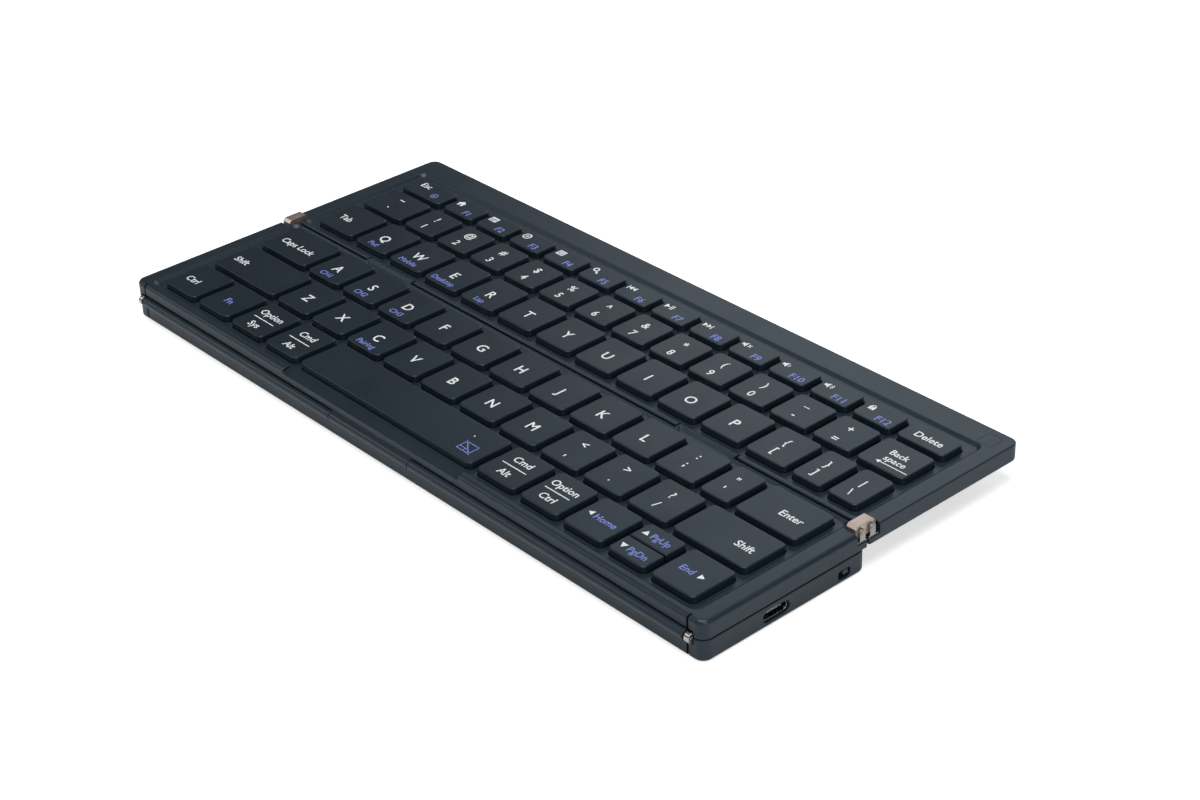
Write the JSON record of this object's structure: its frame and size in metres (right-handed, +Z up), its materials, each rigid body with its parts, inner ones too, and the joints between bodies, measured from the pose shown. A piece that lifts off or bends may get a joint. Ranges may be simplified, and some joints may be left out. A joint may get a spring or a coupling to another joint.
{
  "type": "folding keyboard",
  "caption": "Pocket keyboard in three slabs: two key slabs joined by double-pivot links, and a touchpad slab folded under the front one on a barrel hinge.",
  "frame": {"origin": "on the table under the centre of the whole outline, keyboard unfolded and touchpad folded under", "axes": "+X to the typist's right along the key rows, +Y away from the typist, +Z up"},
  "size_m": [0.2456, 0.1172, 0.0132],
  "materials": {
    "case": "dark slate blue-grey soft-touch plastic, fine grain",
    "key": "dark blue-black plastic with a fine satin grain",
    "cover": "dark slate plastic, fine spark texture",
    "touch": "smooth satin black touch sheet",
    "nickel": "warm nickel plate, satin with bright chamfers",
    "steel": "plain steel",
    "sheet_steel": "thin zinc-plated sheet",
    "dome_rubber": "milky silicone on clear film",
    "board": "green solder mask on glass laminate",
    "cell": "foil pouch",
    "knob": "mid-grey moulded plastic",
    "inlay": "smooth dark window"
  },
  "bodies": {
    "middle": {"middle_top_frame": "case", "middle_bottom_cover": "cover", "middle_key_plate": "sheet_steel", "middle_dome_sheet": "dome_rubber", "middle_hinge_brackets": "nickel", "middle_cover_screws": "steel"},
    "links": {"hinge_links": "nickel", "hinge_pins": "steel"},
    "rear": {"rear_top_frame": "case", "rear_bottom_cover": "cover", "rear_key_plate": "sheet_steel", "rear_dome_sheet": "dome_rubber", "rear_hinge_brackets": "nickel", "rear_cover_screws": "steel", "rim_inlay": "inlay"},
    "touchpad": {"touchpad_housing": "case", "touchpad_bezel": "cover", "touchpad_surface": "touch", "touch_sensor_board": "board", "battery": "cell", "main_board": "board", "usb_c_port": "steel", "power_switch_body": "cover", "front_hinge_rod": "steel", "front_hinge_knuckles": "steel"},
    "switch_knob": {"power_switch_knob": "knob"},
    "key_esc": {"key_esc": "key"},
    "key_delete": {"key_delete": "key"},
    "key_backspace": {"key_backspace": "key"},
    "key_tab": {"key_tab": "key"},
    "key_backslash": {"key_backslash": "key"},
    "key_caps_lock": {"key_caps_lock": "key"},
    "key_enter": {"key_enter": "key"},
    "key_left_shift": {"key_left_shift": "key"},
    "key_right_shift": {"key_right_shift": "key"},
    "key_left_ctrl": {"key_left_ctrl": "key"},
    "key_fn": {"key_fn": "key"},
    "key_left_option": {"key_left_option": "key"},
    "key_left_command": {"key_left_command": "key"},
    "key_space": {"key_space": "key"},
    "key_right_command": {"key_right_command": "key"},
    "key_right_option": {"key_right_option": "key"},
    "key_home": {"key_home": "key"},
    "key_page_up": {"key_page_up": "key"},
    "key_page_down": {"key_page_down": "key"},
    "key_end": {"key_end": "key"},
    "keys_f1_to_f6": {"keys_f1_to_f6": "key"},
    "keys_f7_to_f12": {"keys_f7_to_f12": "key"},
    "keys_grave_to_4": {"keys_grave_to_4": "key"},
    "keys_5_to_8": {"keys_5_to_8": "key"},
    "keys_9_to_equals": {"keys_9_to_equals": "key"},
    "keys_q_to_r": {"keys_q_to_r": "key"},
    "keys_t_to_i": {"keys_t_to_i": "key"},
    "keys_o_to_brackets": {"keys_o_to_brackets": "key"},
    "keys_a_to_f": {"keys_a_to_f": "key"},
    "keys_g_to_k": {"keys_g_to_k": "key"},
    "keys_l_to_quote": {"keys_l_to_quote": "key"},
    "keys_z_to_v": {"keys_z_to_v": "key"},
    "keys_b_to_m": {"keys_b_to_m": "key"},
    "keys_comma_to_slash": {"keys_comma_to_slash": "key"}
  },
  "joints": [
    {"name": "link_hinge", "type": "hinge", "parent": "middle", "child": "links", "pos_m": [0, -0.0013, 0.01135], "axis": [1, 0, 0], "range_deg": [0, 90]},
    {"name": "rear_hinge", "type": "hinge", "parent": "links", "child": "rear", "pos_m": [0, 0.0024, 0.01135], "axis": [1, 0, 0], "range_deg": [0, 90]},
    {"name": "touchpad_hinge", "type": "hinge", "parent": "middle", "child": "touchpad", "pos_m": [0, -0.05715, 0.0063], "axis": [-1, 0, 0], "range_deg": [0, 180]},
    {"name": "power_switch_slide", "type": "slide", "parent": "touchpad", "child": "switch_knob", "axis": [0, 1, 0], "range_m": [-0.002, 0]},
    {"name": "key_esc_press", "type": "slide", "parent": "rear", "child": "key_esc", "axis": [0, 0, 1], "range_m": [-0.0016, 0], "stiffness_N_per_m": 250, "springref_m": 0.0006},
    {"name": "key_delete_press", "type": "slide", "parent": "rear", "child": "key_delete", "axis": [0, 0, 1], "range_m": [-0.0016, 0], "stiffness_N_per_m": 250, "springref_m": 0.0006},
    {"name": "key_backspace_press", "type": "slide", "parent": "rear", "child": "key_backspace", "axis": [0, 0, 1], "range_m": [-0.0016, 0], "stiffness_N_per_m": 250, "springref_m": 0.0006},
    {"name": "key_tab_press", "type": "slide", "parent": "rear", "child": "key_tab", "axis": [0, 0, 1], "range_m": [-0.0016, 0], "stiffness_N_per_m": 250, "springref_m": 0.0006},
    {"name": "key_backslash_press", "type": "slide", "parent": "rear", "child": "key_backslash", "axis": [0, 0, 1], "range_m": [-0.0016, 0], "stiffness_N_per_m": 250, "springref_m": 0.0006},
    {"name": "key_caps_lock_press", "type": "slide", "parent": "middle", "child": "key_caps_lock", "axis": [0, 0, 1], "range_m": [-0.0016, 0], "stiffness_N_per_m": 250, "springref_m": 0.0006},
    {"name": "key_enter_press", "type": "slide", "parent": "middle", "child": "key_enter", "axis": [0, 0, 1], "range_m": [-0.0016, 0], "stiffness_N_per_m": 250, "springref_m": 0.0006},
    {"name": "key_left_shift_press", "type": "slide", "parent": "middle", "child": "key_left_shift", "axis": [0, 0, 1], "range_m": [-0.0016, 0], "stiffness_N_per_m": 250, "springref_m": 0.0006},
    {"name": "key_right_shift_press", "type": "slide", "parent": "middle", "child": "key_right_shift", "axis": [0, 0, 1], "range_m": [-0.0016, 0], "stiffness_N_per_m": 250, "springref_m": 0.0006},
    {"name": "key_left_ctrl_press", "type": "slide", "parent": "middle", "child": "key_left_ctrl", "axis": [0, 0, 1], "range_m": [-0.0016, 0], "stiffness_N_per_m": 250, "springref_m": 0.0006},
    {"name": "key_fn_press", "type": "slide", "parent": "middle", "child": "key_fn", "axis": [0, 0, 1], "range_m": [-0.0016, 0], "stiffness_N_per_m": 250, "springref_m": 0.0006},
    {"name": "key_left_option_press", "type": "slide", "parent": "middle", "child": "key_left_option", "axis": [0, 0, 1], "range_m": [-0.0016, 0], "stiffness_N_per_m": 250, "springref_m": 0.0006},
    {"name": "key_left_command_press", "type": "slide", "parent": "middle", "child": "key_left_command", "axis": [0, 0, 1], "range_m": [-0.0016, 0], "stiffness_N_per_m": 250, "springref_m": 0.0006},
    {"name": "key_space_press", "type": "slide", "parent": "middle", "child": "key_space", "axis": [0, 0, 1], "range_m": [-0.0016, 0], "stiffness_N_per_m": 250, "springref_m": 0.0006},
    {"name": "key_right_command_press", "type": "slide", "parent": "middle", "child": "key_right_command", "axis": [0, 0, 1], "range_m": [-0.0016, 0], "stiffness_N_per_m": 250, "springref_m": 0.0006},
    {"name": "key_right_option_press", "type": "slide", "parent": "middle", "child": "key_right_option", "axis": [0, 0, 1], "range_m": [-0.0016, 0], "stiffness_N_per_m": 250, "springref_m": 0.0006},
    {"name": "key_home_press", "type": "slide", "parent": "middle", "child": "key_home", "axis": [0, 0, 1], "range_m": [-0.0016, 0], "stiffness_N_per_m": 250, "springref_m": 0.0006},
    {"name": "key_page_up_press", "type": "slide", "parent": "middle", "child": "key_page_up", "axis": [0, 0, 1], "range_m": [-0.0016, 0], "stiffness_N_per_m": 250, "springref_m": 0.0006},
    {"name": "key_page_down_press", "type": "slide", "parent": "middle", "child": "key_page_down", "axis": [0, 0, 1], "range_m": [-0.0016, 0], "stiffness_N_per_m": 250, "springref_m": 0.0006},
    {"name": "key_end_press", "type": "slide", "parent": "middle", "child": "key_end", "axis": [0, 0, 1], "range_m": [-0.0016, 0], "stiffness_N_per_m": 250, "springref_m": 0.0006},
    {"name": "keys_f1_to_f6_press", "type": "slide", "parent": "rear", "child": "keys_f1_to_f6", "axis": [0, 0, 1], "range_m": [-0.0016, 0], "stiffness_N_per_m": 1500, "springref_m": 0.0006},
    {"name": "keys_f7_to_f12_press", "type": "slide", "parent": "rear", "child": "keys_f7_to_f12", "axis": [0, 0, 1], "range_m": [-0.0016, 0], "stiffness_N_per_m": 1500, "springref_m": 0.0006},
    {"name": "keys_grave_to_4_press", "type": "slide", "parent": "rear", "child": "keys_grave_to_4", "axis": [0, 0, 1], "range_m": [-0.0016, 0], "stiffness_N_per_m": 1250, "springref_m": 0.0006},
    {"name": "keys_5_to_8_press", "type": "slide", "parent": "rear", "child": "keys_5_to_8", "axis": [0, 0, 1], "range_m": [-0.0016, 0], "stiffness_N_per_m": 1000, "springref_m": 0.0006},
    {"name": "keys_9_to_equals_press", "type": "slide", "parent": "rear", "child": "keys_9_to_equals", "axis": [0, 0, 1], "range_m": [-0.0016, 0], "stiffness_N_per_m": 1000, "springref_m": 0.0006},
    {"name": "keys_q_to_r_press", "type": "slide", "parent": "rear", "child": "keys_q_to_r", "axis": [0, 0, 1], "range_m": [-0.0016, 0], "stiffness_N_per_m": 1000, "springref_m": 0.0006},
    {"name": "keys_t_to_i_press", "type": "slide", "parent": "rear", "child": "keys_t_to_i", "axis": [0, 0, 1], "range_m": [-0.0016, 0], "stiffness_N_per_m": 1000, "springref_m": 0.0006},
    {"name": "keys_o_to_brackets_press", "type": "slide", "parent": "rear", "child": "keys_o_to_brackets", "axis": [0, 0, 1], "range_m": [-0.0016, 0], "stiffness_N_per_m": 1000, "springref_m": 0.0006},
    {"name": "keys_a_to_f_press", "type": "slide", "parent": "middle", "child": "keys_a_to_f", "axis": [0, 0, 1], "range_m": [-0.0016, 0], "stiffness_N_per_m": 1000, "springref_m": 0.0006},
    {"name": "keys_g_to_k_press", "type": "slide", "parent": "middle", "child": "keys_g_to_k", "axis": [0, 0, 1], "range_m": [-0.0016, 0], "stiffness_N_per_m": 1000, "springref_m": 0.0006},
    {"name": "keys_l_to_quote_press", "type": "slide", "parent": "middle", "child": "keys_l_to_quote", "axis": [0, 0, 1], "range_m": [-0.0016, 0], "stiffness_N_per_m": 750, "springref_m": 0.0006},
    {"name": "keys_z_to_v_press", "type": "slide", "parent": "middle", "child": "keys_z_to_v", "axis": [0, 0, 1], "range_m": [-0.0016, 0], "stiffness_N_per_m": 1000, "springref_m": 0.0006},
    {"name": "keys_b_to_m_press", "type": "slide", "parent": "middle", "child": "keys_b_to_m", "axis": [0, 0, 1], "range_m": [-0.0016, 0], "stiffness_N_per_m": 750, "springref_m": 0.0006},
    {"name": "keys_comma_to_slash_press", "type": "slide", "parent": "middle", "child": "keys_comma_to_slash", "axis": [0, 0, 1], "range_m": [-0.0016, 0], "stiffness_N_per_m": 750, "springref_m": 0.0006}
  ]
}
